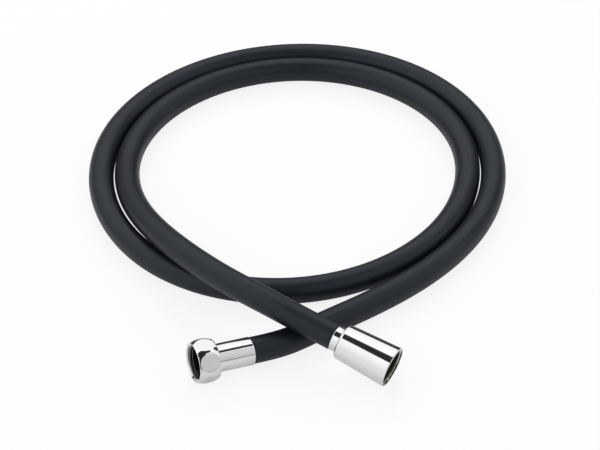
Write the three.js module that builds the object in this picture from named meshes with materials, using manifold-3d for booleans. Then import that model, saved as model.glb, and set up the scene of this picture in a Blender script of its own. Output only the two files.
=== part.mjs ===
// A shower hose, lying in two loose loops with its ends crossed.
// A smooth flexible hose has a swivelling union nut at each end: a ball-turned hexagon nut for the
// mixer or wall outlet, and a long conical nut for the hand shower. Inside each end a barbed hose
// tail fills the bore, a ferrule squeezes the hose onto it, and a sealing washer lies on its flange.
// Millimetres, +Z up, floor at z = 0, origin under the middle of the whole hose.

import * as THREE from "three";
import { mergeVertices } from "three/addons/utils/BufferGeometryUtils.js";
import Module from "manifold-3d";

const wasm = await Module();
wasm.setup();

// Clearances
const runningGap = 0.3;
const nutEndGap = 0.4;

// Hose
const hoseDiameter = 16;
const hoseBore = 8.5;
const squeezeDepth = 1.4;

// Union thread of both nuts, G 1/2
const threadMajorDiameter = 20.955;
const threadMinorDiameter = 18.631;
const mouthChamferDepth = 1.2;

// Hose tails
const waterwayDiameter = 6;
const barbCount = 4;
const barbPitch = 4;
const barbDepth = 0.5;
const tailTipInset = 1;
const gripNeckDiameter = 10;
const swivelNeckDiameter = 12.4;
const flangeThickness = 2;

// Sealing washers
const washerBore = 11;
const washerThickness = 2;

// Ferrules
const ferruleEndWall = 1.6;
const ferruleRimRadius = 0.4;
const hexFerruleWall = 1.5;
const hexFerruleLength = 22.7;
const coneFerruleWall = 0.8;
const coneFerruleLength = 24;

// Hexagon nut
const hexSides = 6;
const hexNutLength = 13.1;
const hexFlatWall = 1.52;
const hexBackWall = 2;
const hexMouthGrowth = 0.75;
const crownHeight = 1.15;
const crownArcRadius = 15.5;
const hexBackChamfer = 0.5;

// Conical nut
const coneNutLength = 34;
const collarShowing = 4.7;
const coneMouthWall = 1.92;
const coneNeckWall = 2.75;
const coneLipWall = 0.95;
const coneRecessDepth = 1.1;
const coneThreadGrowth = 0.25;
const coneShoulderRadius = 1.6;
const coneRimRadius = 0.35;

// Roundness of the facets
const nutFacets = 48;
const crownSteps = 10;
const innerFacets = 28;
const hoseSides = 10;
const boreSides = 8;
const hoseSteps = 80;

// The lie of the hose: how far the points that it leans to spread from side to side, and from the
// nuts to the far end of the loops.
const lieWidth = 257;
const lieDepth = 321.6;

// The route of the hose's middle line between the two ferrules' mouths, from the hexagon nut's end,
// once round the outer loop, once round the inner loop and over the crossings to the conical nut.
// It starts and ends in the first and last point and leans to the others. Each holds two places on
// the floor and a lift: how far the hose is held up from lying on the floor.
const routePoints = [
  [-29, -135.6, 2.45],
  [-7, -126.1, 0.75],
  [11, -110.2, 0.05],
  [41, -90.5, 0],
  [76, -61.5, 0],
  [104.5, -25.5, 0],
  [122, 16, 0],
  [126.5, 61, 0],
  [117.5, 105.5, 0],
  [94.5, 144.5, 0],
  [59, 173, 0],
  [15.5, 186, 0],
  [-30, 182.5, 0],
  [-71, 163.5, 0],
  [-103.5, 131.5, 0],
  [-124, 91, 0],
  [-130.5, 46, 0],
  [-122.5, 1.5, 0],
  [-101, -38.5, 0],
  [-66, -67.5, 0],
  [-22, -79.5, 0],
  [23.5, -73, 0],
  [62.5, -50, 0],
  [91.5, -15.5, 0],
  [107.5, 27, 0],
  [109.5, 72, 0],
  [95, 115, 0],
  [64.5, 149, 0],
  [22.5, 167.5, 0],
  [-23, 167, 0],
  [-64.5, 148, 0],
  [-95.5, 114.5, 0],
  [-112, 72.5, 0],
  [-112, 28, 3],
  [-99.5, -15, 10],
  [-77, -54.5, 17],
  [-47.5, -89, 20],
  [-20.5, -112.5, 21.5],
  [-0.5, -124, 16.9],
  [20, -135, 12.1],
];
const routeMiddle = [-1.7, 13.7];

// Sizes that follow from the ones above
const squeezedDiameter = hoseDiameter - 2 * squeezeDepth;
const ferruleBore = squeezedDiameter + 2 * runningGap;
const hexFerruleDiameter = ferruleBore + 2 * hexFerruleWall;
const coneFerruleDiameter = ferruleBore + 2 * coneFerruleWall;
const flangeDiameter = threadMinorDiameter - 2 * runningGap;
const hexAcrossFlats = threadMajorDiameter + 2 * hexFlatWall;
const crownDiameter = hexAcrossFlats + 2 * crownHeight;
const coneNutBore = coneFerruleDiameter + 2 * runningGap;
const coneNeckDiameter = coneNutBore + 2 * coneNeckWall;
const coneMouthDiameter = threadMajorDiameter + 2 * coneMouthWall;
const coneRecessDiameter = coneMouthDiameter - 2 * coneLipWall;
const coneChamferDiameter = threadMajorDiameter + 2 * coneThreadGrowth;
const hexMouthDiameter = threadMajorDiameter + 2 * hexMouthGrowth;

// Finishes
const blackHose = new THREE.MeshStandardMaterial({ color: 0x282c31, roughness: 0.42, metalness: 0 });
const chrome = new THREE.MeshStandardMaterial({ color: 0xd8dadc, roughness: 0.06, metalness: 1 });
const rawBrass = new THREE.MeshStandardMaterial({ color: 0xb08d4a, roughness: 0.3, metalness: 1 });
const sealRubber = new THREE.MeshStandardMaterial({ color: 0x1b1b1c, roughness: 0.8, metalness: 0 });

// A smooth curve of cubic spans that starts in the first point, heading for the second, and ends
// in the last, coming from the one before it.
class SmoothRoute extends THREE.Curve {
  constructor(points) {
    super();
    const before = points[0].clone().multiplyScalar(2).sub(points[1]);
    const after = points.at(-1).clone().multiplyScalar(2).sub(points.at(-2));
    this.points = [before, ...points, after];
    this.arcLengthDivisions = 800;
  }

  getPoint(t, target = new THREE.Vector3()) {
    const spans = this.points.length - 3;
    const span = Math.min(Math.floor(t * spans), spans - 1);
    const u = t * spans - span;
    const weights = [
      (1 - u) ** 3,
      3 * u ** 3 - 6 * u ** 2 + 4,
      -3 * u ** 3 + 3 * u ** 2 + 3 * u + 1,
      u ** 3,
    ];
    target.set(0, 0, 0);
    weights.forEach((weight, i) => target.addScaledVector(this.points[span + i], weight / 6));
    return target;
  }
}

function spreadOf(axis) {
  const places = routePoints.map((point) => point[axis]);
  return Math.max(...places) - Math.min(...places);
}

const widthScale = lieWidth / spreadOf(0);
const depthScale = lieDepth / spreadOf(1);
const route = routePoints.map(([x, y, lift]) => {
  return new THREE.Vector3(
    (x - routeMiddle[0]) * widthScale,
    (y - routeMiddle[1]) * depthScale,
    hoseDiameter / 2 + lift,
  );
});
const hexMouth = route[0];
const hexDirection = hexMouth.clone().sub(route[1]).normalize();
const coneMouth = route.at(-1);
const coneDirection = coneMouth.clone().sub(route.at(-2)).normalize();

// Joining and cutting of closed solids
function toSolid(geometry) {
  const bare = geometry.clone();
  bare.deleteAttribute("normal");
  bare.deleteAttribute("uv");
  const merged = mergeVertices(bare, 1e-4);
  return new wasm.Manifold(
    new wasm.Mesh({
      numProp: 3,
      vertProperties: new Float32Array(merged.attributes.position.array),
      triVerts: new Uint32Array(merged.index.array),
    }),
  );
}

function toGeometry(solid) {
  const mesh = solid.getMesh();
  return new THREE.BufferGeometry()
    .setAttribute("position", new THREE.BufferAttribute(mesh.vertProperties, 3))
    .setIndex(new THREE.BufferAttribute(mesh.triVerts, 1));
}

// A ring turned about Z. The outline is a closed loop of [radius, height], anticlockwise.
function turned(outline, facets) {
  const loop = [...outline, outline[0]].map(([radius, height]) => new THREE.Vector2(radius, height));
  return new THREE.LatheGeometry(loop, facets).rotateX(Math.PI / 2);
}

// Points on a quarter round or shorter arc of an outline, both ends included.
function arc(centreRadius, centreHeight, radius, fromDegrees, toDegrees, steps) {
  return Array.from({ length: steps + 1 }, (_, i) => {
    const angle = THREE.MathUtils.degToRad(fromDegrees + ((toDegrees - fromDegrees) * i) / steps);
    return [centreRadius + radius * Math.cos(angle), centreHeight + radius * Math.sin(angle)];
  });
}

// Corners of a regular polygon in a circle.
function circleShape(radius, sides) {
  return Array.from({ length: sides }, (_, i) => {
    const angle = (2 * Math.PI * i) / sides;
    return new THREE.Vector2(radius * Math.cos(angle), radius * Math.sin(angle));
  });
}

// Heights along a fitting are counted from the ferrule's mouth, where the hose goes in, outwards.
// The stack is the same at both ends: ferrule, gap, nut wall or collar, flange, washer, thread.
function stackHeights(ferruleLength, nutWallEnd) {
  const flangeStart = nutWallEnd + runningGap;
  const washerStart = flangeStart + flangeThickness + runningGap;
  return {
    hoseEnd: ferruleLength - ferruleEndWall - nutEndGap,
    flangeStart,
    flangeEnd: flangeStart + flangeThickness,
    washerStart,
    washerEnd: washerStart + washerThickness,
  };
}

const hexNutStart = hexFerruleLength + nutEndGap;
const hexStack = stackHeights(hexFerruleLength, hexNutStart + hexBackWall);
const coneSeat = coneFerruleLength + nutEndGap;
const coneStack = stackHeights(coneFerruleLength, coneSeat);

// Ferrule: a deep cup with a rounded mouth. Its end wall grips the tail's neck.
function ferruleGeometry(diameter, length) {
  const outer = diameter / 2;
  const inner = ferruleBore / 2;
  const grip = gripNeckDiameter / 2 + runningGap;
  const rim = Math.min(ferruleRimRadius, (outer - inner) / 2);
  const outline = [
    [inner, 0],
    ...arc(outer - rim, rim, rim, -90, 0, 3),
    ...arc(outer - rim, length - rim, rim, 0, 90, 3),
    [grip, length],
    [grip, length - ferruleEndWall],
    [inner, length - ferruleEndWall],
  ];
  return turned(outline, nutFacets);
}

// Hose tail: a barbed stem in the bore, a grip neck in the ferrule's end wall, a wider neck that
// the nut turns on, and the flange that the nut pulls on. The waterway runs right through.
function tailGeometry(stack, swivelStart) {
  const waterway = waterwayDiameter / 2;
  const crest = hoseBore / 2 - runningGap;
  const root = crest - barbDepth;
  const barbs = Array.from({ length: barbCount }, (_, i) => {
    const start = tailTipInset + i * barbPitch;
    return [
      [root, start],
      [crest, start + barbPitch],
    ];
  }).flat();
  const outline = [
    [waterway, tailTipInset],
    ...barbs,
    [root, tailTipInset + barbCount * barbPitch],
    [root, stack.hoseEnd + nutEndGap / 2],
    [gripNeckDiameter / 2, stack.hoseEnd + nutEndGap / 2],
    [gripNeckDiameter / 2, swivelStart],
    [swivelNeckDiameter / 2, swivelStart],
    [swivelNeckDiameter / 2, stack.flangeStart],
    [flangeDiameter / 2, stack.flangeStart],
    [flangeDiameter / 2, stack.flangeEnd],
    [waterway, stack.flangeEnd],
  ];
  return turned(outline, innerFacets);
}

// Sealing washer: a flat ring on the tail's flange.
function washerGeometry(stack) {
  const outline = [
    [washerBore / 2, stack.washerStart],
    [flangeDiameter / 2, stack.washerStart],
    [flangeDiameter / 2, stack.washerEnd],
    [washerBore / 2, stack.washerEnd],
  ];
  return turned(outline, innerFacets);
}

// Conical nut: rounded at its small end, widening to a thin lip round a plain recess. Its narrow
// bore runs over the ferrule, and the step at the thread's end pulls on the tail's flange.
function coneNutGeometry() {
  const start = collarShowing;
  const end = collarShowing + coneNutLength;
  const neck = coneNeckDiameter / 2;
  const mouth = coneMouthDiameter / 2;
  const outline = [
    [coneNutBore / 2, start],
    ...arc(neck - coneShoulderRadius, start + coneShoulderRadius, coneShoulderRadius, -90, 0, 5),
    ...arc(mouth - coneRimRadius, end - coneRimRadius, coneRimRadius, 0, 90, 3),
    [coneRecessDiameter / 2, end],
    [coneRecessDiameter / 2, end - coneRecessDepth],
    [coneChamferDiameter / 2, end - coneRecessDepth],
    [threadMinorDiameter / 2, end - coneRecessDepth - mouthChamferDepth],
    [threadMinorDiameter / 2, coneSeat],
    [coneNutBore / 2, coneSeat],
  ];
  return turned(outline, nutFacets);
}

// Hexagon nut: a hexagon bar turned to a crown, which leaves a nearly round disc of each flat.
function hexNutGeometry() {
  const start = hexNutStart;
  const middle = start + hexNutLength / 2;
  const end = start + hexNutLength;
  const reach = THREE.MathUtils.radToDeg(Math.asin(hexNutLength / 2 / crownArcRadius));
  const crownCentre = crownDiameter / 2 - crownArcRadius;
  const crown = arc(crownCentre, middle, crownArcRadius, -reach, reach, crownSteps);
  const backBore = swivelNeckDiameter / 2 + runningGap;
  const crownOutline = [
    [backBore, start + hexBackChamfer],
    [backBore + hexBackChamfer, start],
    ...crown,
    [hexMouthDiameter / 2, end],
    [threadMinorDiameter / 2, end - mouthChamferDepth],
    [threadMinorDiameter / 2, start + hexBackWall],
    [backBore, start + hexBackWall],
  ];
  const corner = hexAcrossFlats / 2 / Math.cos(Math.PI / hexSides);
  const hexagon = new THREE.Shape(circleShape(corner, hexSides));
  const bar = new THREE.ExtrudeGeometry(hexagon, { depth: hexNutLength + 2, bevelEnabled: false });
  bar.translate(0, 0, start - 1);
  const turnedNut = toSolid(turned(crownOutline, nutFacets));
  return toGeometry(turnedNut.intersect(toSolid(bar)));
}

// Hose: one laminated wall with an open bore, squeezed where the ferrules hold it.
function hoseGeometry(hexFrame, coneFrame) {
  const hexTip = hexMouth.clone().addScaledVector(hexDirection, hexStack.hoseEnd);
  const coneTip = coneMouth.clone().addScaledVector(coneDirection, coneStack.hoseEnd);
  const path = new THREE.CurvePath();
  path.add(new THREE.LineCurve3(hexTip, hexMouth));
  path.add(new SmoothRoute(route));
  path.add(new THREE.LineCurve3(coneMouth, coneTip));
  const section = new THREE.Shape(circleShape(hoseDiameter / 2, hoseSides));
  const boreCorner = hoseBore / 2 / Math.cos(Math.PI / boreSides);
  section.holes.push(new THREE.Path(circleShape(boreCorner, boreSides)));
  const swept = new THREE.ExtrudeGeometry(section, { steps: hoseSteps, extrudePath: path });
  let hose = toSolid(swept);
  for (const [frame, stack] of [
    [hexFrame, hexStack],
    [coneFrame, coneStack],
  ]) {
    const squeeze = turned(
      [
        [squeezedDiameter / 2, -runningGap],
        [hoseDiameter, -runningGap],
        [hoseDiameter, stack.hoseEnd + 1],
        [squeezedDiameter / 2, stack.hoseEnd + 1],
      ],
      nutFacets,
    ).applyMatrix4(frame);
    hose = hose.subtract(toSolid(squeeze));
  }
  return toGeometry(hose);
}

// The frame of a fitting: its own Z points out of the nut, and its own Y as nearly up as it can.
function fittingFrame(origin, direction) {
  const across = new THREE.Vector3(0, 0, 1).cross(direction).normalize();
  const upward = direction.clone().cross(across);
  return new THREE.Matrix4().makeBasis(across, upward, direction).setPosition(origin);
}

function namedMesh(name, geometry, material) {
  const mesh = new THREE.Mesh(geometry, material);
  mesh.name = name;
  return mesh;
}

function fittingGroup(frame, meshes) {
  const group = new THREE.Group();
  group.applyMatrix4(frame);
  group.add(...meshes);
  return group;
}

const hexFrame = fittingFrame(hexMouth, hexDirection);
const coneFrame = fittingFrame(coneMouth, coneDirection);

const showerHose = new THREE.Group();
showerHose.add(namedMesh("hose", hoseGeometry(hexFrame, coneFrame), blackHose));
showerHose.add(
  fittingGroup(hexFrame, [
    namedMesh("hex_ferrule", ferruleGeometry(hexFerruleDiameter, hexFerruleLength), chrome),
    namedMesh("hex_tail", tailGeometry(hexStack, hexNutStart), rawBrass),
    namedMesh("hex_washer", washerGeometry(hexStack), sealRubber),
    namedMesh("hex_nut", hexNutGeometry(), chrome),
  ]),
);
showerHose.add(
  fittingGroup(coneFrame, [
    namedMesh("cone_ferrule", ferruleGeometry(coneFerruleDiameter, coneFerruleLength), chrome),
    namedMesh("cone_tail", tailGeometry(coneStack, coneSeat), rawBrass),
    namedMesh("cone_washer", washerGeometry(coneStack), sealRubber),
    namedMesh("cone_nut", coneNutGeometry(), chrome),
  ]),
);

export default showerHose;
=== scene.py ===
# %% [markdown]
# # A shower hose
#
# The real thing is a length of smooth black hose that joins a shower mixer to a hand shower. A loose
# union nut is held on each end: a short hexagon nut for a spanner, and a long cone to turn by hand.
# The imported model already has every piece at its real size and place, so this script keeps those
# places and remakes each piece with its finer form and its finish. Everything is in metres.

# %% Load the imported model
import math

import bpy
import numpy as np
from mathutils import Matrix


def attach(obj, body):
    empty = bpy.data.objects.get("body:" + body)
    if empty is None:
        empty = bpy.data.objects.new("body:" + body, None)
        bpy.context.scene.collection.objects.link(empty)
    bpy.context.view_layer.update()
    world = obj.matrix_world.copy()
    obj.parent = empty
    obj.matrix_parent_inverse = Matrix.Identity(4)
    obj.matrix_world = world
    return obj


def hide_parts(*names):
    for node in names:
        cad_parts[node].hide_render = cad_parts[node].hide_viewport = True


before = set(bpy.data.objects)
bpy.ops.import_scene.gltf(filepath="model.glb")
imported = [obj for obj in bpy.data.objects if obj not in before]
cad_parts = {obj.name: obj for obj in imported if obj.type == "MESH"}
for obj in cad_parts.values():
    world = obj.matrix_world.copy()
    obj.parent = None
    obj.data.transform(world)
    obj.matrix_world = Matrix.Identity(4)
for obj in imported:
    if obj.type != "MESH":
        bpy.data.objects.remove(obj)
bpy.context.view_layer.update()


MM = 0.001

# %% [markdown]
# ## The camera
#
# The photograph looks down on the hose from the side where both nuts lie. The loops of a hose have
# no straight edge to read a lens from, so the lens and height were found by laying the traced loops
# on the floor and comparing. A long lens is typical for a catalogue picture.

# %% Camera
CAMERA_HEIGHT_ANGLE = math.radians(37)
CAMERA_DISTANCE = 1.55266
FOCAL_PIXELS = 2460
IMAGE_WIDTH = 600
SENSOR_WIDTH = 36
look_at = np.array([0.00145, -0.0134, 0.0])

camera_data = bpy.data.cameras.new("camera")
camera_data.sensor_fit = "HORIZONTAL"
camera_data.sensor_width = SENSOR_WIDTH
camera_data.lens = SENSOR_WIDTH * FOCAL_PIXELS / IMAGE_WIDTH
camera = bpy.data.objects.new("camera", camera_data)
bpy.context.scene.collection.objects.link(camera)
backwards = np.array([0, -math.cos(CAMERA_HEIGHT_ANGLE), math.sin(CAMERA_HEIGHT_ANGLE)])
camera.location = look_at + CAMERA_DISTANCE * backwards
camera.rotation_euler = (math.pi / 2 - CAMERA_HEIGHT_ANGLE, 0, 0)
bpy.context.scene.camera = camera
print("lens of", round(camera_data.lens, 1), "mm at", [round(v, 3) for v in camera.location])

# %% [markdown]
# ## Surfaces from grids
#
# Every piece of this hose is a ring: it has a hole right through it. So one helper serves them all.
# It takes a grid of points that closes on itself both ways, like the skin of a doughnut, and makes
# quads between neighbours. A volume that comes out negative tells that the faces point inwards.

# %% Grid helper
HOSE_BODY = "hose_body"


def ring_piece(name, points, along, material, body, node):
    """A closed ring from points[row, column], rows and columns both wrapping round.

    The UV map holds, in metres, the distance down the rows (U) and the distance round (V).
    The signed volume is a sixth of the sum of corner · (corner × corner) over all triangles."""
    rows, columns = points.shape[:2]
    row, column = np.meshgrid(np.arange(rows), np.arange(columns), indexing="ij")
    next_row = (row + 1) % rows
    next_column = (column + 1) % columns
    corners = [(row, column), (row, next_column), (next_row, next_column), (next_row, column)]
    quads = np.stack([r * columns + c for r, c in corners], axis=-1).reshape(-1, 4)

    flat = points.reshape(-1, 3)
    a, b, c, d = (flat[quads[:, k]] for k in range(4))
    volume = (np.sum(a * np.cross(b, c)) + np.sum(a * np.cross(c, d))) / 6

    round_step = np.linalg.norm(np.roll(points, -1, axis=1) - points, axis=2).mean(axis=1)
    u = np.stack([row, row, row + 1, row + 1], axis=-1).reshape(-1, 4)
    v = np.stack([column, column + 1, column + 1, column], axis=-1).reshape(-1, 4)
    distance = np.append(along, along[-1] + (along[-1] - along[-2]))
    uv = np.stack([distance[u], v * round_step.max()], axis=-1)
    if volume < 0:
        quads = quads[:, ::-1]
        uv = uv[:, ::-1]

    mesh = bpy.data.meshes.new(name)
    mesh.from_pydata(flat.tolist(), [], quads.tolist())
    mesh.uv_layers.new(name="surface").data.foreach_set("uv", uv.reshape(-1).astype(np.float32))
    mesh.polygons.foreach_set("use_smooth", np.ones(len(quads), bool))
    mesh.materials.append(material)
    piece = bpy.data.objects.new(name, mesh)
    bpy.context.scene.collection.objects.link(piece)
    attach(piece, body)
    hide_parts(node)
    print(f"{name}: {len(quads)} quads, {abs(volume) * 1e6:.2f} cubic centimetres")
    return piece


# %% [markdown]
# ## Node helpers for the finishes
#
# Each finish is a small tree of nodes under one shader. Fine patterns come from noise read in the
# piece's own coordinates, so that they stay put when the camera moves or a nut turns.

# %% Material helpers
def new_finish(name, roughness, metallic=0.0):
    """A material with one Principled shader, its plain numbers set on the sockets."""
    material = bpy.data.materials.new(name)
    material.use_nodes = True
    shader = material.node_tree.nodes["Principled BSDF"]
    shader.inputs["Roughness"].default_value = roughness
    shader.inputs["Metallic"].default_value = metallic
    return material, shader


def add_noise(material, source, scale, detail=3.0, stretch=(1, 1, 1)):
    """Noise of a number of waves a metre, stretched by a factor along each axis of its source."""
    tree = material.node_tree
    place = tree.nodes.new("ShaderNodeTexCoord")
    mapping = tree.nodes.new("ShaderNodeMapping")
    mapping.inputs["Scale"].default_value = stretch
    noise = tree.nodes.new("ShaderNodeTexNoise")
    noise.inputs["Scale"].default_value = scale
    noise.inputs["Detail"].default_value = detail
    tree.links.new(place.outputs[source], mapping.inputs["Vector"])
    tree.links.new(mapping.outputs["Vector"], noise.inputs["Vector"])
    return noise.outputs["Fac"]


def add_range(material, value, low, high, start=0.35, end=0.65):
    """Spreads a noise between two numbers: its start gives low and its end gives high."""
    spread = material.node_tree.nodes.new("ShaderNodeMapRange")
    spread.inputs["From Min"].default_value = start
    spread.inputs["From Max"].default_value = end
    spread.inputs["To Min"].default_value = low
    spread.inputs["To Max"].default_value = high
    material.node_tree.links.new(value, spread.inputs["Value"])
    return spread.outputs["Result"]


def add_mix(material, factor, first, second):
    """A colour between two colours. Each may be a plain colour or another node's output."""
    mix = material.node_tree.nodes.new("ShaderNodeMix")
    mix.data_type = "RGBA"
    material.node_tree.links.new(factor, mix.inputs["Factor"])
    for socket, colour in (("A", first), ("B", second)):
        place = next(s for s in mix.inputs if s.name == socket and s.type == "RGBA")
        if isinstance(colour, tuple):
            place.default_value = (*colour, 1)
        else:
            material.node_tree.links.new(colour, place)
    return next(s for s in mix.outputs if s.type == "RGBA")


def add_bump(material, shader, height, depth, before=None):
    """Small relief under the gloss: depth is how many metres a height of 1 stands up."""
    bump = material.node_tree.nodes.new("ShaderNodeBump")
    bump.inputs["Strength"].default_value = 1.0
    bump.inputs["Distance"].default_value = depth
    material.node_tree.links.new(height, bump.inputs["Height"])
    if before is not None:
        material.node_tree.links.new(before, bump.inputs["Normal"])
    material.node_tree.links.new(bump.outputs["Normal"], shader.inputs["Normal"])
    return bump.outputs["Normal"]


# %% [markdown]
# ## The hose's finish
#
# The hose is extruded from black PVC. Its skin is smooth but not glassy: it shows a broad, slightly
# cool highlight and a faint unevenness along its length from the extruder. Two near blacks are mixed
# by large soft noise, and fine noise that is drawn out along the hose changes how dull it is.

# %% Satin black PVC
DARKER_BLACK = (0.0049, 0.0066, 0.0106)
LIGHTER_BLACK = (0.0060, 0.0080, 0.0125)
COOL_HIGHLIGHT = (0.88, 0.95, 1.0, 1)
HOSE_GLOSS_LEVEL = 0.38
HOSE_ROUGHNESS = (0.39, 0.48)
GRAIN_DEPTH = 0.006 * MM
DRAWN_DEPTH = 0.010 * MM

satin_black, shader = new_finish("satin_black_pvc", roughness=0.42)
clouds = add_range(satin_black, add_noise(satin_black, "Object", scale=28), 0, 1)
tint = add_mix(satin_black, clouds, DARKER_BLACK, LIGHTER_BLACK)
satin_black.node_tree.links.new(tint, shader.inputs["Base Color"])
shader.inputs["Specular IOR Level"].default_value = HOSE_GLOSS_LEVEL
shader.inputs["Specular Tint"].default_value = COOL_HIGHLIGHT
drawn = add_noise(satin_black, "UV", scale=600, stretch=(0.06, 1, 1))
dullness = add_range(satin_black, drawn, *HOSE_ROUGHNESS)
satin_black.node_tree.links.new(dullness, shader.inputs["Roughness"])
grain = add_noise(satin_black, "Object", scale=1400, detail=2)
grain_relief = add_bump(satin_black, shader, grain, GRAIN_DEPTH)
add_bump(satin_black, shader, drawn, DRAWN_DEPTH, before=grain_relief)
print("finish:", satin_black.name)

# %% [markdown]
# ## The hose
#
# A hose is stiff enough to lie in wide, even curves. Its middle line is a smooth curve of cubic
# spans that leans towards a given list of points: from the hexagon nut round the outer loop,
# round the inner loop, over the two crossings and down to the conical nut. The skin is a circle
# carried along that line. It narrows where a ferrule squeezes it, and goes back down the bore.

# %% Route of the hose
ROUTE_MIDDLE = np.array([-0.0017, 0.0137, 0.0])
ROUTE_POINTS = [
    (-0.0290, -0.1356, 0.01045),
    (-0.0070, -0.1261, 0.00875),
    (0.0110, -0.1102, 0.00805),
    (0.0410, -0.0905, 0.0080),
    (0.0760, -0.0615, 0.0080),
    (0.1045, -0.0255, 0.0080),
    (0.1220, 0.0160, 0.0080),
    (0.1265, 0.0610, 0.0080),
    (0.1175, 0.1055, 0.0080),
    (0.0945, 0.1445, 0.0080),
    (0.0590, 0.1730, 0.0080),
    (0.0155, 0.1860, 0.0080),
    (-0.0300, 0.1825, 0.0080),
    (-0.0710, 0.1635, 0.0080),
    (-0.1035, 0.1315, 0.0080),
    (-0.1240, 0.0910, 0.0080),
    (-0.1305, 0.0460, 0.0080),
    (-0.1225, 0.0015, 0.0080),
    (-0.1010, -0.0385, 0.0080),
    (-0.0660, -0.0675, 0.0080),
    (-0.0220, -0.0795, 0.0080),
    (0.0235, -0.0730, 0.0080),
    (0.0625, -0.0500, 0.0080),
    (0.0915, -0.0155, 0.0080),
    (0.1075, 0.0270, 0.0080),
    (0.1095, 0.0720, 0.0080),
    (0.0950, 0.1150, 0.0080),
    (0.0645, 0.1490, 0.0080),
    (0.0225, 0.1675, 0.0080),
    (-0.0230, 0.1670, 0.0080),
    (-0.0645, 0.1480, 0.0080),
    (-0.0955, 0.1145, 0.0080),
    (-0.1120, 0.0725, 0.0080),
    (-0.1120, 0.0280, 0.0110),
    (-0.0995, -0.0150, 0.0180),
    (-0.0770, -0.0545, 0.0250),
    (-0.0475, -0.0890, 0.0280),
    (-0.0205, -0.1125, 0.0295),
    (-0.0005, -0.1240, 0.0249),
    (0.0200, -0.1350, 0.0201),
]
HOSE_RADIUS = 8 * MM
SQUEEZED_RADIUS = 6.6 * MM
BORE_RADIUS = 4.25 * MM
HEX_HOSE_DEPTH = 20.7 * MM
CONE_HOSE_DEPTH = 22.0 * MM


def smooth_route(leans, samples_per_span=60):
    """Points on a uniform cubic B-spline through both end points of the list it leans to.

    Each end gets one more point, as far beyond it as its neighbour is before it. On a span, the
    four weights are (1-u)^3, 3u^3-6u^2+4, -3u^3+3u^2+3u+1 and u^3, each a sixth part."""
    leans = np.vstack([2 * leans[0] - leans[1], leans, 2 * leans[-1] - leans[-2]])
    u = (np.arange(samples_per_span) / samples_per_span)[None, :, None]
    weights = [(1 - u) ** 3, 3 * u**3 - 6 * u**2 + 4, -3 * u**3 + 3 * u**2 + 3 * u + 1, u**3]
    spans = len(leans) - 3
    line = sum(w * leans[k : k + spans, None, :] for k, w in enumerate(weights)) / 6
    return np.vstack([line.reshape(-1, 3), leans[-2]])


def distances(line):
    """The distance along a polyline at each of its points."""
    return np.append(0, np.cumsum(np.linalg.norm(np.diff(line, axis=0), axis=1)))


def unit(vectors):
    """Vectors of length 1."""
    return vectors / np.linalg.norm(vectors, axis=-1, keepdims=True)


leans = np.array(ROUTE_POINTS) - ROUTE_MIDDLE
free_line = smooth_route(leans)
hex_mouth, cone_mouth = leans[0], leans[-1]
hex_direction = unit(leans[0] - leans[1])
cone_direction = unit(leans[-1] - leans[-2])
hex_tip = hex_mouth + hex_direction * HEX_HOSE_DEPTH
cone_tip = cone_mouth + cone_direction * CONE_HOSE_DEPTH
whole_line = np.vstack([hex_tip, free_line, cone_tip])
whole_distance = distances(whole_line)
hose_length = whole_distance[-1]
free_length = distances(free_line)[-1]
print("hose between its ferrules:", round(free_length, 4), "m, in all:", round(hose_length, 4), "m")

# %% Skin of the hose
HOSE_COLUMNS = 44
BORE_ROWS = 420
FREE_STEP = 1.3 * MM
SHOULDER_STEP = 0.1 * MM
SHOULDER_LENGTH = 1.2 * MM
TIP_BEVEL = 0.3 * MM


def carried_circle(line, line_distance, stations, radii, columns):
    """A circle of the given radius at each station along a line.

    The circle's plane is square to the line's direction t. Its sideways axis is z × t and its
    upward axis is t × sideways, which never fails here because the hose never stands upright."""
    spots = np.stack([np.interp(stations, line_distance, line[:, k]) for k in range(3)], axis=1)
    ahead = np.stack([np.interp(stations + MM, line_distance, line[:, k]) for k in range(3)], axis=1)
    behind = np.stack([np.interp(stations - MM, line_distance, line[:, k]) for k in range(3)], axis=1)
    direction = unit(ahead - behind)
    sideways = unit(np.cross([0, 0, 1], direction))
    upward = np.cross(direction, sideways)
    angle = 2 * np.pi * np.arange(columns) / columns
    across = sideways[:, None, :] * np.cos(angle)[None, :, None]
    upwards = upward[:, None, :] * np.sin(angle)[None, :, None]
    return spots[:, None, :] + (across + upwards) * np.asarray(radii)[:, None, None]


def swell(distance):
    """From the squeezed radius to the full one, as a quarter ellipse over the shoulder's length."""
    share = np.clip(distance / SHOULDER_LENGTH, 0, 1)
    return SQUEEZED_RADIUS + (HOSE_RADIUS - SQUEEZED_RADIUS) * np.sqrt(1 - (1 - share) ** 2)


first_mouth = HEX_HOSE_DEPTH
last_mouth = hose_length - CONE_HOSE_DEPTH
first_shoulder = first_mouth + np.arange(0, SHOULDER_LENGTH + SHOULDER_STEP, SHOULDER_STEP)
last_shoulder = last_mouth - (first_shoulder[::-1] - first_mouth)
free_count = int((last_shoulder[0] - first_shoulder[-1]) / FREE_STEP)
free_part = np.linspace(first_shoulder[-1], last_shoulder[0], free_count)[1:-1]
under_hex_ferrule = np.array([TIP_BEVEL, 6 * MM, 12 * MM])
under_cone_ferrule = hose_length - np.array([14 * MM, 7 * MM, TIP_BEVEL])
outside = np.concatenate([
    under_hex_ferrule, first_shoulder, free_part, last_shoulder, under_cone_ferrule,
])
outside_radius = np.minimum(swell(outside - first_mouth), swell(last_mouth - outside))
inside = np.linspace(hose_length, 0, BORE_ROWS)
rim_radius = SQUEEZED_RADIUS - TIP_BEVEL
stations = np.concatenate([[0], outside, [hose_length], inside])
radii = np.concatenate([[rim_radius], outside_radius, [rim_radius], np.full(inside.size, BORE_RADIUS)])
skin = carried_circle(whole_line, whole_distance, stations, radii, HOSE_COLUMNS)
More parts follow.
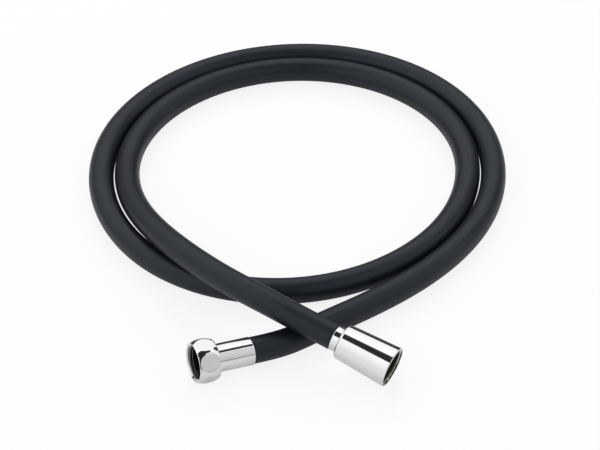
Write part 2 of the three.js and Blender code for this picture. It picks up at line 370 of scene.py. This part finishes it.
skin_distance = np.concatenate([[0], outside, [hose_length], hose_length + inside[::-1]])
smooth_hose = ring_piece("smooth_hose", skin, skin_distance, satin_black, HOSE_BODY, "hose")

# %% [markdown]
# ## Metal, brass and rubber
#
# Chrome is a very thin bright plating on brass. It is polished on the nuts' outsides, and the plating
# hardly reaches the threads: a dull olive in the conical nut. The hexagon nut's thread is painted nearly
# black, darker deeper in, as painted shade in its bore. A value stored on the mesh says where the metal
# is bare or painted shaded. Drawn ferrules keep faint lines along them, and turned brass keeps lines round
# it.

# %% Chrome
POLISHED_CHROME = (0.76, 0.77, 0.785)
HAZED_CHROME = (0.73, 0.74, 0.757)
OLIVE_THREAD = (0.075, 0.07, 0.045)
# Painted shade: the hexagon nut's thread colour, nearly black for the shade inside its bore.
PAINTED_SHADE_THREAD = (0.015, 0.015, 0.016)
BARE_DULLNESS = 0.3
POLISH_WAVES = 160
POLISH_WAVE_DEPTH = 0.005 * MM
POLISH_LINE_DEPTH = 0.0003 * MM
DRAWN_LINE_DEPTH = 0.0008 * MM
ROUND_THE_PIECE = (1, 0.02, 1)
ALONG_THE_PIECE = (0.02, 1, 1)


def chrome_finish(name, roughness, line_stretch, line_depth, bare_or_shade_colour=OLIVE_THREAD):
    """Chrome whose gloss varies a little, with faint lines along or round the piece."""
    material, shader = new_finish(name, roughness, metallic=1.0)
    tree = material.node_tree
    bare_or_shade = tree.nodes.new("ShaderNodeAttribute")
    bare_or_shade.attribute_name = "bare_or_shade"
    haze = add_range(material, add_noise(material, "Object", scale=POLISH_WAVES), 0, 1)
    bright = add_mix(material, haze, POLISHED_CHROME, HAZED_CHROME)
    # Where the stored value is 1 the chrome takes the other colour: bare brass in the conical nut, painted
    # shade in the hexagon nut's thread.
    plated = add_mix(material, bare_or_shade.outputs["Fac"], bright, bare_or_shade_colour)
    tree.links.new(plated, shader.inputs["Base Color"])
    lines = add_noise(material, "UV", scale=5000, detail=2, stretch=line_stretch)
    gloss = add_range(material, lines, roughness * 0.8, roughness * 1.3)
    dulled = tree.nodes.new("ShaderNodeMath")
    dulled.operation = "MULTIPLY_ADD"
    dulled.inputs[1].default_value = BARE_DULLNESS
    tree.links.new(bare_or_shade.outputs["Fac"], dulled.inputs[0])
    tree.links.new(gloss, dulled.inputs[2])
    tree.links.new(dulled.outputs["Value"], shader.inputs["Roughness"])
    waves = add_noise(material, "Object", scale=POLISH_WAVES, detail=1)
    wave_relief = add_bump(material, shader, waves, POLISH_WAVE_DEPTH)
    add_bump(material, shader, lines, line_depth, before=wave_relief)
    return material


cone_chrome = chrome_finish("polished_cone_chrome", 0.07, ROUND_THE_PIECE, POLISH_LINE_DEPTH)
# The hexagon nut's chrome gets the nearly black thread colour, which is painted shade for its bore.
hexagon_chrome = chrome_finish(
    "polished_hexagon_chrome_painted_thread_shade", 0.07, ROUND_THE_PIECE, POLISH_LINE_DEPTH, PAINTED_SHADE_THREAD
)
ferrule_chrome = chrome_finish("drawn_ferrule_chrome", 0.08, ALONG_THE_PIECE, DRAWN_LINE_DEPTH)
print("finishes:", cone_chrome.name, hexagon_chrome.name, ferrule_chrome.name)

# %% Brass and rubber
CLEAN_BRASS = (0.52, 0.35, 0.13)
STAINED_BRASS = (0.38, 0.25, 0.10)
TOOL_LINE_DEPTH = 0.004 * MM
CLEAN_RUBBER = (0.010, 0.010, 0.010)
BLOOMED_RUBBER = (0.022, 0.022, 0.023)
PORE_DEPTH = 0.02 * MM

turned_brass, shader = new_finish("turned_brass", roughness=0.3, metallic=1.0)
tool_lines = add_noise(turned_brass, "UV", scale=6000, detail=2, stretch=(1, 0.01, 1))
stain = add_range(turned_brass, add_noise(turned_brass, "Object", scale=300), 0, 1)
brass_tint = add_mix(turned_brass, stain, CLEAN_BRASS, STAINED_BRASS)
turned_brass.node_tree.links.new(brass_tint, shader.inputs["Base Color"])
brass_dullness = add_range(turned_brass, tool_lines, 0.24, 0.4)
turned_brass.node_tree.links.new(brass_dullness, shader.inputs["Roughness"])
add_bump(turned_brass, shader, tool_lines, TOOL_LINE_DEPTH)

seal_rubber, shader = new_finish("soft_seal_rubber", roughness=0.7)
bloom = add_noise(seal_rubber, "Object", scale=500)
bloom_share = add_range(seal_rubber, bloom, 0, 1)
rubber_tint = add_mix(seal_rubber, bloom_share, CLEAN_RUBBER, BLOOMED_RUBBER)
seal_rubber.node_tree.links.new(rubber_tint, shader.inputs["Base Color"])
rubber_dullness = add_range(seal_rubber, bloom, 0.62, 0.8)
seal_rubber.node_tree.links.new(rubber_dullness, shader.inputs["Roughness"])
pores = add_noise(seal_rubber, "Object", scale=3000, detail=2)
add_bump(seal_rubber, shader, pores, PORE_DEPTH)
print("finishes:", turned_brass.name, seal_rubber.name)

# %% [markdown]
# ## Turned pieces
#
# Nuts, ferrules, tails and washers are turned, so each starts as a profile: a closed line of radius
# and height, where height counts from the ferrule's mouth outwards. No real edge is perfectly sharp,
# and a tiny rounding is what catches the light, so every corner of a profile has its own rounding.

# %% Profile helpers
SHORTEST_STRAIGHT = 0.1 * MM
LARGEST_END_SHARE = 0.04


def rounded_loop(corners, arc_steps=4, longest=1.2 * MM, near_end=0.15 * MM):
    """A closed profile from corners of (radius, height, rounding), all in millimetres.

    At a corner, the arc touches both sides at rounding × tan(turn / 2) from it. Each straight part
    gets a point near both its ends, at a 25th of its length at most, which keeps the smooth
    shading off it, and more points so that no gap is longer than the longest."""
    corners = np.array(corners, float) * MM
    spots, roundings = corners[:, :2], corners[:, 2]
    inwards = unit(spots - np.roll(spots, 1, axis=0))
    outwards = unit(np.roll(spots, -1, axis=0) - spots)
    cross = inwards[:, 0] * outwards[:, 1] - inwards[:, 1] * outwards[:, 0]
    turn = np.arctan2(cross, np.sum(inwards * outwards, axis=1))
    reach = roundings * np.abs(np.tan(turn / 2))
    starts = spots - inwards * reach[:, None]
    share = np.linspace(0, 1, arc_steps + 1)[None, :]
    swing = turn[:, None] * share
    sign = np.sign(turn)[:, None]
    along = roundings[:, None] * np.sin(np.abs(swing))
    aside = roundings[:, None] * (1 - np.cos(swing)) * sign
    normal = np.stack([-inwards[:, 1], inwards[:, 0]], axis=1)
    arcs = starts[:, None, :] + inwards[:, None, :] * along[:, :, None]
    arcs = arcs + normal[:, None, :] * aside[:, :, None]
    stretches = []
    for arc, next_arc in zip(arcs, np.roll(arcs, -1, axis=0)):
        gap = np.linalg.norm(next_arc[0] - arc[-1])
        count = max(1, int(np.ceil(gap / longest)))
        near = min(LARGEST_END_SHARE, near_end / max(gap, SHORTEST_STRAIGHT))
        shares = np.unique(np.concatenate([[near, 1 - near], np.arange(1, count) / count]))[:, None]
        straight = arc[-1] + (next_arc[0] - arc[-1]) * shares
        stretches.append(np.vstack([arc, straight] if gap > SHORTEST_STRAIGHT else [arc]))
    return np.vstack(stretches)


def fitting_axes(direction):
    """The columns across, up and out of a fitting: across is z × out, and up is out × across."""
    across = unit(np.cross([0, 0, 1], direction))
    return np.stack([across, np.cross(direction, across), direction], axis=1)


def place_turned(origin, direction, radius, height, angle):
    """Points of radius, height and angle on a fitting's axis, all three as grids of one shape."""
    local = np.stack([radius * np.cos(angle), radius * np.sin(angle), height], axis=-1)
    return origin + local @ fitting_axes(direction).T


def turned_piece(name, end, corners, columns, material, body, node):
    """A plain turned ring: the profile's points, each carried once round the axis."""
    profile = rounded_loop(corners)
    angle = 2 * np.pi * np.arange(columns) / columns
    radius = np.repeat(profile[:, :1], columns, axis=1)
    height = np.repeat(profile[:, 1:], columns, axis=1)
    angles = np.repeat(angle[None, :], len(profile), axis=0)
    points = place_turned(*end, radius, height, angles)
    return ring_piece(name, points, distances(profile), material, body, node)


hex_end = (hex_mouth, hex_direction)
cone_end = (cone_mouth, cone_direction)
print("hexagon end points along", hex_direction.round(3), "and conical end along", cone_direction.round(3))

# %% [markdown]
# ## Ferrules, tails and washers
#
# A ferrule is a drawn cup pressed over the hose. Its end wall grips the tail, a turned brass stem
# whose barbs bite in the bore and whose flange the nut pulls on. A flat rubber washer lies on the
# flange and makes the joint tight. Most of this hides inside, but it shows when one looks in.

# %% Ferrules
FERRULE_COLUMNS = 96
hex_ferrule = turned_piece(
    "hexagon_end_ferrule", hex_end,
    [(6.9, 0, 0.3), (8.4, 0, 0.7), (8.4, 22.7, 0.5), (5.3, 22.7, 0.1), (5.3, 21.1, 0.1), (6.9, 21.1, 0.3)],
    FERRULE_COLUMNS, ferrule_chrome, HOSE_BODY, "hex_ferrule",
)
cone_ferrule = turned_piece(
    "conical_end_ferrule", cone_end,
    [(6.9, 0, 0.2), (7.7, 0, 0.39), (7.7, 24, 0.39), (5.3, 24, 0.1), (5.3, 22.4, 0.1), (6.9, 22.4, 0.3)],
    FERRULE_COLUMNS, ferrule_chrome, HOSE_BODY, "cone_ferrule",
)

# %% Tails
TAIL_COLUMNS = 64
BARB_CRESTS = [5, 9, 13, 17]


def tail_corners(neck_start, swivel_start, flange_start):
    """Waterway, four barbs that rise to a sharp crest, grip neck, swivel neck and flange."""
    barbs = [corner for crest in BARB_CRESTS for corner in ((3.45, crest - 4, 0.03), (3.95, crest, 0.03))]
    return [
        (3, 1, 0.05), *barbs, (3.45, 17.01, 0.001),
        (3.45, neck_start, 0.1), (5, neck_start, 0.15), (5, swivel_start, 0.05),
        (6.2, swivel_start, 0.1), (6.2, flange_start, 0.1), (9.0155, flange_start, 0.25),
        (9.0155, flange_start + 2, 0.25), (3, flange_start + 2, 0.3),
    ]


hex_tail = turned_piece(
    "hexagon_end_tail", hex_end, tail_corners(20.9, 23.1, 25.4),
    TAIL_COLUMNS, turned_brass, HOSE_BODY, "hex_tail",
)
cone_tail = turned_piece(
    "conical_end_tail", cone_end, tail_corners(22.2, 24.4, 24.7),
    TAIL_COLUMNS, turned_brass, HOSE_BODY, "cone_tail",
)


# %% Washers
def washer_corners(start):
    """A flat ring 2 mm thick with softly moulded edges."""
    return [(5.5, start, 0.25), (9.0155, start, 0.3), (9.0155, start + 2, 0.3), (5.5, start + 2, 0.25)]


hex_washer = turned_piece(
    "hexagon_end_washer", hex_end, washer_corners(27.7),
    TAIL_COLUMNS, seal_rubber, HOSE_BODY, "hex_washer",
)
cone_washer = turned_piece(
    "conical_end_washer", cone_end, washer_corners(27),
    TAIL_COLUMNS, seal_rubber, HOSE_BODY, "cone_washer",
)

# %% [markdown]
# ## The thread
#
# Both nuts have the same pipe thread inside, 14 turns to the inch. A thread is a plain bore whose
# radius rises and falls with the height, where the height is first wound back by the angle: one full
# turn is worth one pitch. That makes a true helix with no cutting. It fades in at its inner end and
# runs out in the chamfer of the mouth.

# %% Thread
PITCH = 25.4 / 14 * MM
THREAD_MINOR = 9.3155 * MM
THREAD_MAJOR = 10.4775 * MM
CREST_ROUNDING = 0.3


def soft_least(first, second, softness):
    """The lesser of two numbers, with the corner between them rounded over the given softness."""
    nearness = np.clip(softness - np.abs(first - second), 0, None) / softness
    return np.minimum(first, second) - nearness**2 * softness / 4


def thread_radius(height, angle, start):
    """The bore's radius: a 55 degree V of two thirds of its full height, with rounded tops.

    The phase is (height - pitch × angle / full turn) / pitch. A triangle wave of it is stretched by
    one and a half about its middle, its tops are rounded off, and a ramp fades it in at the start."""
    phase = height / PITCH - angle / (2 * np.pi)
    triangle = np.abs(2 * (phase - np.floor(phase)) - 1)
    stretched = 0.5 + 1.5 * (triangle - 0.5)
    rounded = -soft_least(-soft_least(stretched, 1.0, CREST_ROUNDING), 0.0, CREST_ROUNDING)
    fade = np.clip((height - start) / (0.8 * PITCH), 0, 1)
    return THREAD_MINOR + (THREAD_MAJOR - THREAD_MINOR) * np.clip(rounded, 0, 1) * fade


def threaded_rows(profile, start, widest, spacing=0.13 * MM):
    """Puts closely spaced rows where a nut's profile is threaded, and tells which rows those are.

    The threaded part lies above the start and is no wider than the given radius. Its rows keep the
    profile's own radius, read off between its points, so a chamfer at the mouth stays."""
    threaded = (profile[:, 1] > start) & (profile[:, 0] < widest)
    first = np.argmax(threaded)
    last = len(profile) - np.argmax(threaded[::-1])
    old = profile[first:last][::-1]
    height = np.linspace(old[-1, 1], old[0, 1], int((old[-1, 1] - old[0, 1]) / spacing))
    fine = np.stack([np.interp(height, old[:, 1], old[:, 0]), height], axis=1)
    rows = np.vstack([profile[:first], fine, profile[last:]])
    return rows, (np.arange(len(rows)) >= first) & (np.arange(len(rows)) < first + len(fine))


def mark_bare_or_shade(piece, bare_or_shade):
    """Stores how bare the metal is, or how much painted shade it takes, 0 to 1, at each point of a nut."""
    layer = piece.data.attributes.new("bare_or_shade", "FLOAT", "POINT")
    layer.data.foreach_set("value", bare_or_shade.reshape(-1).astype(np.float32))


print("thread:", round(PITCH / MM, 3), "mm pitch,", round(2 * THREAD_MAJOR / MM, 3), "mm over its crests")

# %% [markdown]
# ## The conical nut
#
# This nut is turned and polished: a rounded shoulder at its small end, an even taper and a narrow
# rounded lip. Only its bore needs more than a plain turning.

# %% Conical nut
CONE_NUT_COLUMNS = 144
CONE_THREAD_START = 27.3 * MM
CONE_THREAD_LIMIT = 10.72 * MM
CONE_BARE_LIMIT = 10.6 * MM
CONE_BARE_START = 24 * MM
cone_corners = [
    (8, 4.7, 0.3), (10.75, 4.7, 1.6), (12.3975, 38.7, 0.35), (11.4475, 38.7, 0.12), (11.4475, 37.6, 0.05),
    (10.7275, 37.6, 0.08), (9.3155, 36.4, 0.05), (9.3155, 24.4, 0.1), (8, 24.4, 0.15),
]
cone_loop = rounded_loop(cone_corners, arc_steps=6)
profile, threaded = threaded_rows(cone_loop, CONE_THREAD_START, CONE_THREAD_LIMIT)
one_turn = 2 * np.pi * np.arange(CONE_NUT_COLUMNS) / CONE_NUT_COLUMNS
angle = np.repeat(one_turn[None, :], len(profile), axis=0)
radius = np.repeat(profile[:, :1], CONE_NUT_COLUMNS, axis=1)
height = np.repeat(profile[:, 1:], CONE_NUT_COLUMNS, axis=1)
cut = np.maximum(radius, thread_radius(height, angle, CONE_THREAD_START))
radius = np.where(threaded[:, None], cut, radius)
points = place_turned(*cone_end, radius, height, angle)
conical_nut = ring_piece(
    "conical_nut", points, distances(profile), cone_chrome, "cone_nut_body", "cone_nut"
)
bare_part = (radius < CONE_BARE_LIMIT) & (height > CONE_BARE_START)
mark_bare_or_shade(conical_nut, np.where(bare_part, 1.0, 0.0))

# %% [markdown]
# ## The hexagon nut
#
# A hexagon bar is turned to a barrel shape, so that each flat is left as a nearly round disc with a
# curved band round it. At every point the nut's radius is the lesser of the barrel's and the flat's.
# The grid's columns crowd to the edge between the two, so that edge stays clean, and it is rounded
# very slightly, as polishing leaves it.

# %% Hexagon nut
FLAT_COLUMNS = 20
CORNER_COLUMNS = 12
FLAT_DISTANCE = 11.9975 * MM
BARREL_ARC = 15.5 * MM
BARREL_RADIUS = 13.1475 * MM
NUT_START, NUT_END = 23.1 * MM, 36.2 * MM
NUT_MIDDLE = (NUT_START + NUT_END) / 2
HEX_THREAD_START = 28.0 * MM
HEX_THREAD_LIMIT = 11.22 * MM
OUTER_ROWS = 76
INNER_WIDEST = 11.661 * MM
EDGE_SOFTNESS = 0.1 * MM
SECTOR = np.pi / 3
# Painted shade in the bore: the share of the nearly black colour by height, full deep inside and less
# towards the mouth.
PAINTED_SHADE_HEIGHTS = [24.9, 25.1, 31.4, 32.2, 35.3, 35.5]
PAINTED_SHADE_SHARES = [0, 1, 1, 0.82, 0.78, 0]


def barrel_radius(height):
    """The turned outside: an arc of a circle whose middle lies beyond the nut's axis."""
    return BARREL_RADIUS - BARREL_ARC + np.sqrt(BARREL_ARC**2 - (height - NUT_MIDDLE) ** 2)


def hexagon_columns(height, outer):
    """The angle of each column. A sector has a flat's columns, then a corner's columns.

    On the outside the flat's columns end at the edge, where the barrel meets the flat: at the
    angle whose cosine is flat distance / barrel radius. Elsewhere they are evenly spread."""
    even = SECTOR / 2 * FLAT_COLUMNS / (FLAT_COLUMNS + CORNER_COLUMNS)
    edge = np.arccos(np.clip(FLAT_DISTANCE / barrel_radius(height), -1, 1))
    half = np.where(outer, np.maximum(edge, 0.2 * even), even)[:, None]
    flat_part = half * np.linspace(-1, 1, FLAT_COLUMNS + 1)[None, :-1]
    corner_part = half + (SECTOR - 2 * half) * np.linspace(0, 1, CORNER_COLUMNS + 1)[None, :-1]
    one_side = np.concatenate([flat_part, corner_part], axis=1)
    return np.concatenate([one_side + (k + 0.5) * SECTOR for k in range(6)], axis=1)


outer_height = np.linspace(NUT_START + 0.05 * MM, NUT_END - 0.05 * MM, OUTER_ROWS)
outer_profile = np.stack([barrel_radius(outer_height), outer_height], axis=1)
inner_corners = [
    (11.66, 36.2, 0.01), (11.2275, 36.2, 0.08), (9.3155, 35.0, 0.05), (9.3155, 25.1, 0.1),
    (6.5, 25.1, 0.1), (6.5, 23.6, 0.1), (7.0, 23.1, 0.15), (11.66, 23.1, 0.01), (11.7, 29.65, 0.01),
]
inner_loop = rounded_loop(inner_corners, near_end=MM)
inner_loop = inner_loop[inner_loop[:, 0] < INNER_WIDEST]
whole_loop = np.vstack([outer_profile, inner_loop])
profile, threaded = threaded_rows(whole_loop, HEX_THREAD_START, HEX_THREAD_LIMIT)
outer = np.arange(len(profile)) < len(outer_profile)
angle = hexagon_columns(profile[:, 1], outer)
radius = np.repeat(profile[:, :1], angle.shape[1], axis=1)
height = np.repeat(profile[:, 1:], angle.shape[1], axis=1)
off_flat = angle % SECTOR - SECTOR / 2
facet = soft_least(radius, FLAT_DISTANCE / np.cos(off_flat), EDGE_SOFTNESS)
cut = np.maximum(radius, thread_radius(height, angle, HEX_THREAD_START))
radius = np.where(outer[:, None], facet, np.where(threaded[:, None], cut, radius))
points = place_turned(*hex_end, radius, height, angle)
hexagon_nut = ring_piece(
    "hexagon_nut", points, distances(profile), hexagon_chrome, "hex_nut_body", "hex_nut"
)
# Painted shade: the inside of the hexagon nut darkens with depth.
painted_thread_shade = np.interp(height / MM, PAINTED_SHADE_HEIGHTS, PAINTED_SHADE_SHARES)
mark_bare_or_shade(hexagon_nut, np.where(outer[:, None], 0.0, painted_thread_shade))

# %% [markdown]
# ## The hose's length
#
# The hose is the only soft piece. Its whole length is printed.

print("declared a hose of", round(float(hose_length), 4), "m")

# %% [markdown]
# ## Floor and light
#
# The photograph has a plain white background. The floor is a pale sheet that shows nearly white to
# the camera, shows its own pale colour in the chrome, and still takes the hose's soft shadow. Chrome
# shows only what stands round it, so the sky matters more than the lamps. To chrome it is a light
# tent, a little brighter towards its top, with dark openings overhead, towards the camera and low
# behind, and a dimmer wall on the right. Each opening is an ellipsoid of directions round its middle.

# %% Floor
FLOOR_HALF = 3.0
SHOWN_TO_CAMERA = 0.84
SHOWN_IN_CHROME = 0.15
floor_mesh = bpy.data.meshes.new("floor")
floor_corners = [(-FLOOR_HALF, -FLOOR_HALF, 0), (FLOOR_HALF, -FLOOR_HALF, 0)]
floor_corners += [(FLOOR_HALF, FLOOR_HALF, 0), (-FLOOR_HALF, FLOOR_HALF, 0)]
floor_mesh.from_pydata(floor_corners, [], [(0, 1, 2, 3)])
floor = bpy.data.objects.new("floor", floor_mesh)
bpy.context.scene.collection.objects.link(floor)

floor_finish, shader = new_finish("pale_floor", roughness=0.2)
shader.inputs["Base Color"].default_value = (0.9, 0.9, 0.9, 1)
shader.inputs["Specular IOR Level"].default_value = 0.5
tree = floor_finish.node_tree
rays = tree.nodes.new("ShaderNodeLightPath")
share = 0.0
SHOWN_TO = {
    "Is Glossy Ray": SHOWN_IN_CHROME, "Is Transmission Ray": SHOWN_IN_CHROME,
    "Is Camera Ray": SHOWN_TO_CAMERA,
}
for ray, amount in SHOWN_TO.items():
    step = tree.nodes.new("ShaderNodeMath")
    step.operation = "MULTIPLY_ADD"
    step.inputs[1].default_value = amount
    tree.links.new(rays.outputs[ray], step.inputs[0])
    if isinstance(share, float):
        step.inputs[2].default_value = share
    else:
        tree.links.new(share, step.inputs[2])
    share = step.outputs["Value"]
glow = tree.nodes.new("ShaderNodeEmission")
glow.inputs["Strength"].default_value = 1.0
blend = tree.nodes.new("ShaderNodeMixShader")
tree.links.new(share, blend.inputs["Fac"])
tree.links.new(shader.outputs["BSDF"], blend.inputs[1])
tree.links.new(glow.outputs["Emission"], blend.inputs[2])
tree.links.new(blend.outputs["Shader"], tree.nodes["Material Output"].inputs["Surface"])
floor_mesh.materials.append(floor_finish)

# %% Sky
SKY_LIGHT = 0.75
SKY_IN_CHROME = (0.95, 1.35)
SKY_HEIGHTS = (0.05, 0.95)
OPENING_EDGE = (0.9, 1.08)

# Each opening: its name, its middle, its turn in degrees, its half sizes and the light left in it.
OPENINGS = [
    ("slot overhead", (0.105, -0.035, 1.0), 25, (0.485, 0.208, 0.6), 0.02),
    ("hatch overhead", (-0.035, -0.287, 0.95), 0, (0.318, 0.357, 0.6), 0.02),
    ("slit at the camera", (-0.06, -0.75, 0.3), 0, (0.2, 0.6, 0.85), 0.02),
    ("dark room behind", (0.0, 1.0, 0.0), 0, (1.5, 0.95, 0.36), 0.02),
    ("post on the right", (0.68, 0.52, 0.47), 35, (0.24, 0.17, 0.3), 0.05),
    ("dim wall on the right", (0.8, -0.6, 0.5), 0, (0.72, 0.72, 1.1), 0.66),
    ("skirting on the right", (0.75, -0.7, 0.0), 0, (0.7, 0.8, 0.1), 0.3),
]

world = bpy.data.worlds.new("white_studio")
world.use_nodes = True
bpy.context.scene.world = world
tree = world.node_tree
background = tree.nodes["Background"]
towards = tree.nodes.new("ShaderNodeTexCoord")
rays = tree.nodes.new("ShaderNodeLightPath")
background.inputs["Color"].default_value = (1, 1, 1, 1)


def sky_math(operation, first, second):
    """One sum on two values, each a number or another node's output."""
    node = tree.nodes.new("ShaderNodeMath")
    node.operation = operation
    for socket, value in zip(node.inputs, (first, second)):
        if isinstance(value, (int, float)):
            socket.default_value = value
        else:
            tree.links.new(value, socket)
    return node.outputs["Value"]


open_share = 1.0
for name, middle, turn, half_sizes, left_over in OPENINGS:
    shape = tree.nodes.new("ShaderNodeMapping")
    shape.name = name
    shape.vector_type = "TEXTURE"
    shape.inputs["Location"].default_value = middle
    shape.inputs["Rotation"].default_value = (0, 0, math.radians(turn))
    shape.inputs["Scale"].default_value = half_sizes
    tree.links.new(towards.outputs["Generated"], shape.inputs["Vector"])
    reach = tree.nodes.new("ShaderNodeVectorMath")
    reach.operation = "LENGTH"
    tree.links.new(shape.outputs["Vector"], reach.inputs[0])
    opening = tree.nodes.new("ShaderNodeMapRange")
    opening.interpolation_type = "SMOOTHSTEP"
    opening.inputs["From Min"].default_value, opening.inputs["From Max"].default_value = OPENING_EDGE
    opening.inputs["To Min"].default_value = left_over
    opening.inputs["To Max"].default_value = 1.0
    tree.links.new(reach.outputs["Value"], opening.inputs["Value"])
    open_share = sky_math("MINIMUM", opening.outputs["Result"], open_share)

height_of = tree.nodes.new("ShaderNodeSeparateXYZ")
tree.links.new(towards.outputs["Generated"], height_of.inputs["Vector"])
rise = tree.nodes.new("ShaderNodeMapRange")
rise.inputs["From Min"].default_value, rise.inputs["From Max"].default_value = SKY_HEIGHTS
rise.inputs["To Min"].default_value, rise.inputs["To Max"].default_value = SKY_IN_CHROME
tree.links.new(height_of.outputs["Z"], rise.inputs["Value"])
in_chrome = sky_math("MULTIPLY", open_share, rise.outputs["Result"])
glossy = sky_math("MULTIPLY", rays.outputs["Is Glossy Ray"], sky_math("SUBTRACT", in_chrome, SKY_LIGHT))
lit = sky_math("ADD", glossy, SKY_LIGHT)
shown = sky_math("MULTIPLY", rays.outputs["Is Camera Ray"], sky_math("SUBTRACT", 1.0, lit))
tree.links.new(sky_math("ADD", lit, shown), background.inputs["Strength"])


# %% Lamps
def soft_lamp(name, place, width, depth, power):
    """A rectangular lamp that faces the middle of the hose and can't be seen in the chrome."""
    light = bpy.data.lights.new(name, "AREA")
    light.shape = "RECTANGLE"
    light.size = width
    light.size_y = depth
    light.energy = power
    lamp = bpy.data.objects.new(name, light)
    bpy.context.scene.collection.objects.link(lamp)
    lamp.location = place
    away = unit(np.array(place, float))
    lamp.rotation_euler = (math.acos(away[2]), 0, math.atan2(away[1], away[0]) + math.pi / 2)
    lamp.visible_glossy = False
    return lamp


soft_lamp("back_softbox", (0.0, 1.3, 1.2), width=1.6, depth=0.9, power=9)
soft_lamp("front_softbox", (-0.9, -1.0, 1.3), width=0.9, depth=0.9, power=5)
bpy.context.scene.view_settings.view_transform = "Standard"
